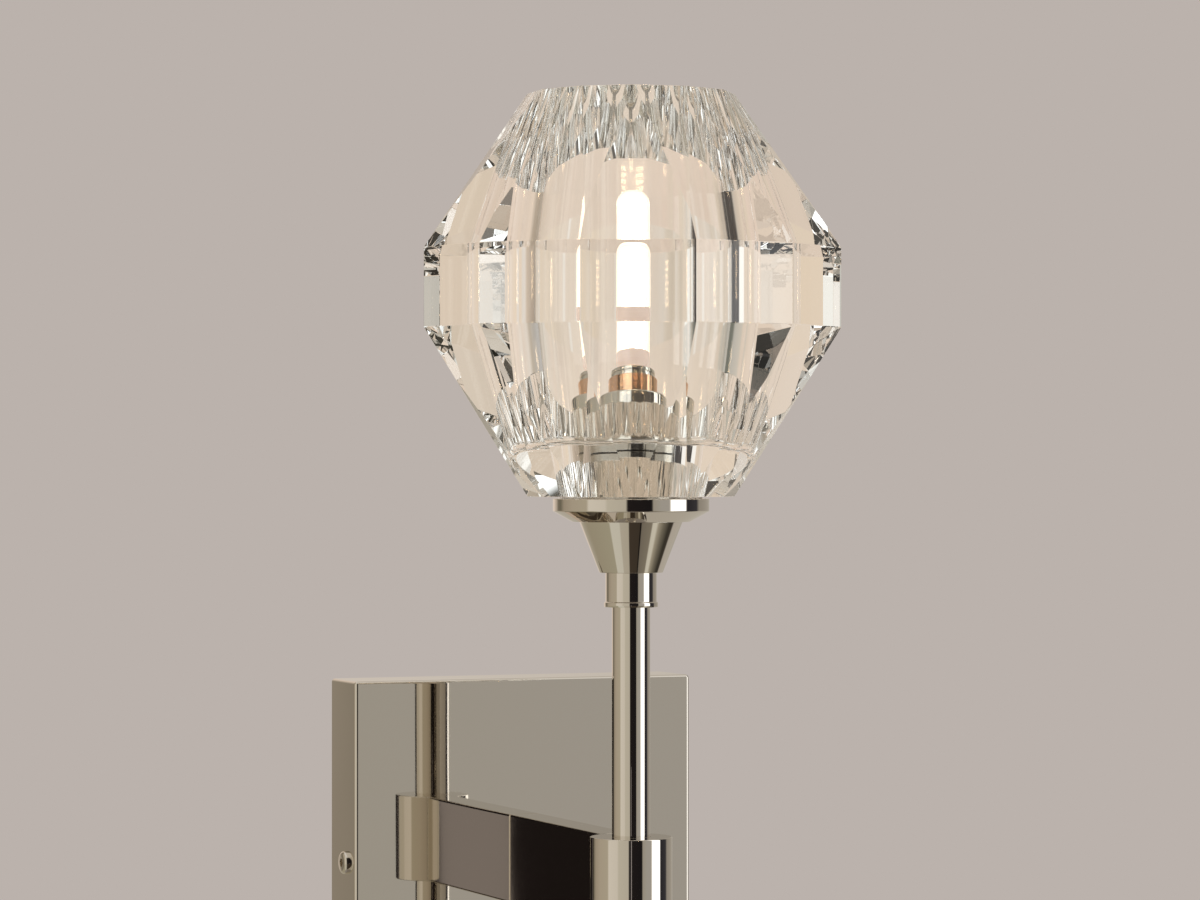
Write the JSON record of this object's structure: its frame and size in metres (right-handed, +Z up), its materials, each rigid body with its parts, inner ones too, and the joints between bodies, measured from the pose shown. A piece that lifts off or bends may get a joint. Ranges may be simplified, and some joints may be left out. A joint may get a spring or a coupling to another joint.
{
  "type": "crystal wall sconce",
  "caption": "Wall sconce with a thick faceted crystal shade on a polished nickel stem, flat arm and square backplate.",
  "frame": {"origin": "middle of the backplate's open back, on the wall plane, between the bracket's two slots", "axes": "+Z up along the stem, -Y out from the wall towards the room, +X to the right seen from the room"},
  "size_m": [0.1306, 0.1763, 0.3022],
  "materials": {
    "polished_nickel": "mirror-polished nickel plate on brass",
    "cut_crystal": "clear optical crystal, cut and polished",
    "clear_capsule": "clear bulb capsule",
    "light_chips": "warm-white light chips, lit",
    "ceramic_board": "white ceramic board",
    "bulb_plastic": "warm white moulded base",
    "plain_wire": "plain nickel-iron wire and strip",
    "white_ceramic": "unglazed white ceramic",
    "copper_sleeve": "polished copper-coloured sleeve",
    "zinc_steel": "zinc-plated steel",
    "raw_brass": "machined brass",
    "green_steel": "green ground screw",
    "clear_gasket": "clear silicone sheet",
    "black_plastic": "black nylon",
    "lead_black": "black insulation",
    "lead_white": "white insulation",
    "lead_green": "green insulation",
    "connector_plastic": "orange moulded connectors"
  },
  "bodies": {
    "fixture": {"arm": "polished_nickel", "backplate_pan": "polished_nickel", "centring_sleeve": "polished_nickel", "clamp_gasket": "clear_gasket", "clamp_nut": "zinc_steel", "clamp_washer": "polished_nickel", "collar": "polished_nickel", "cone_cup": "polished_nickel", "crystal_shade": "cut_crystal", "dish": "polished_nickel", "end_cap": "polished_nickel", "ground_lead": "lead_green", "ground_screw": "green_steel", "holder_contacts": "plain_wire", "holder_cup": "polished_nickel", "holder_foot_plate": "zinc_steel", "holder_ring": "polished_nickel", "holder_screws": "zinc_steel", "holder_sleeve": "copper_sleeve", "hub": "polished_nickel", "lampholder": "white_ceramic", "live_lead": "lead_black", "lower_stem": "polished_nickel", "neutral_lead": "lead_white", "nipple": "zinc_steel", "root_block": "raw_brass", "root_screws": "zinc_steel", "root_washers": "zinc_steel", "shade_gasket": "clear_gasket", "side_screws": "polished_nickel", "stem": "polished_nickel", "wall_bracket": "zinc_steel", "wire_bushing": "black_plastic", "wire_connectors": "connector_plastic"},
    "bulb": {"bulb_glass": "clear_capsule", "bulb_base": "bulb_plastic", "bulb_pins": "plain_wire", "light_column": "ceramic_board", "light_chips": "light_chips"}
  },
  "joints": [
    {"name": "bulb_pull", "type": "slide", "parent": "fixture", "child": "bulb", "axis": [0, 0, 1], "range_m": [0, 0.09]}
  ]
}
